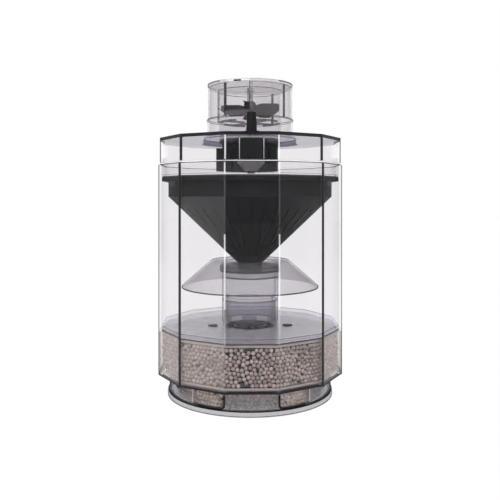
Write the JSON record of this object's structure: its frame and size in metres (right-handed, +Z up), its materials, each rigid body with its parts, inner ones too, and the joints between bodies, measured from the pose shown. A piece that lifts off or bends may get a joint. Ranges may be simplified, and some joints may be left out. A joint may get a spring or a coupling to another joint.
{
  "type": "aquarium waste separator pump filter",
  "caption": "Clear faceted submersible aquarium skimmer filter with ceramic ball bed, umbrella baffle, cone basket, top pump and turning outlet cup.",
  "frame": {"origin": "centre of the flat underside of the base rim", "axes": "+Z up along the barrel's axis, -Y to the front facet, +X to the right"},
  "size_m": [0.1256, 0.1256, 0.2158],
  "materials": {
    "clear_plastic": "clear polished moulding",
    "smoke_plastic": "smoke tinted clear moulding",
    "dark_smoke_plastic": "dark smoke moulding",
    "black_plastic": "fine satin moulding",
    "grey_plastic": "satin moulding",
    "black_rubber": "matt moulded rubber",
    "grey_rubber": "matt silicone",
    "violet_rubber": "matt silicone",
    "ceramic_ball": "unglazed fired clay",
    "black_liner": "fine woven mesh",
    "filter_foam": "open cell foam",
    "stainless": "turned",
    "copper_wire": "enamelled winding",
    "bush_ceramic": "ground ceramic",
    "magnet": "bonded ferrite"
  },
  "bodies": {
    "base": {"base_rim": "clear_plastic", "base_seal": "black_rubber", "base_ring": "smoke_plastic", "inlet_screen": "clear_plastic", "lower_media": "ceramic_ball"},
    "barrel": {"body_wall": "clear_plastic", "body_floor": "clear_plastic", "basket_ledges": "clear_plastic", "media_grid": "smoke_plastic", "ceramic_media": "ceramic_ball", "lock_lugs": "black_plastic"},
    "disc": {"settling_disc": "smoke_plastic", "disc_grille": "dark_smoke_plastic", "disc_clips": "black_plastic", "riser": "dark_smoke_plastic"},
    "baffle": {"draw_tube": "smoke_plastic", "umbrella_baffle": "smoke_plastic", "tube_collar": "dark_smoke_plastic"},
    "basket": {"filter_basket": "black_plastic", "basket_liner": "black_liner", "basket_ring": "black_plastic", "basket_seal": "grey_rubber", "filter_pad": "filter_foam"},
    "lid": {"lid_plate": "clear_plastic", "lid_wall": "clear_plastic", "lid_skirt": "clear_plastic", "lid_gasket": "black_rubber", "collar_clips": "violet_rubber", "motor_housing": "black_plastic", "motor_bracket": "clear_plastic", "bracket_screws": "stainless", "stator_coil": "copper_wire", "lower_bush": "bush_ceramic", "upper_bush": "bush_ceramic", "intake_nozzle": "smoke_plastic", "nozzle_pin": "black_plastic", "outlet_collar": "clear_plastic", "propeller_duct": "clear_plastic", "duct_grille": "black_plastic", "cable_gland": "black_rubber"},
    "cup": {"outlet_cup": "clear_plastic", "cup_bearing": "smoke_plastic"},
    "rotor": {"impeller": "grey_plastic", "impeller_shaft": "bush_ceramic", "magnet_rotor": "magnet"}
  },
  "joints": [
    {"name": "barrel_twist", "type": "hinge", "parent": "base", "child": "barrel", "pos_m": [0, 0, 0.0159], "axis": [0, 0, 1], "range_deg": [0, 13]},
    {"name": "disc_lift", "type": "slide", "parent": "barrel", "child": "disc", "axis": [0, 0, 1], "range_m": [0, 0.118]},
    {"name": "baffle_lift", "type": "slide", "parent": "disc", "child": "baffle", "axis": [0, 0, 1], "range_m": [0, 0.03]},
    {"name": "basket_lift", "type": "slide", "parent": "baffle", "child": "basket", "axis": [0, 0, 1], "range_m": [0, 0.07]},
    {"name": "lid_lift", "type": "slide", "parent": "basket", "child": "lid", "axis": [0, 0, 1], "range_m": [0, 0.05]},
    {"name": "cup_turn", "type": "hinge", "parent": "lid", "child": "cup", "pos_m": [0, 0, 0.191], "axis": [0, 0, 1], "continuous": true},
    {"name": "impeller_spin", "type": "hinge", "parent": "lid", "child": "rotor", "pos_m": [0, 0, 0.19], "axis": [0, 0, 1], "continuous": true}
  ]
}
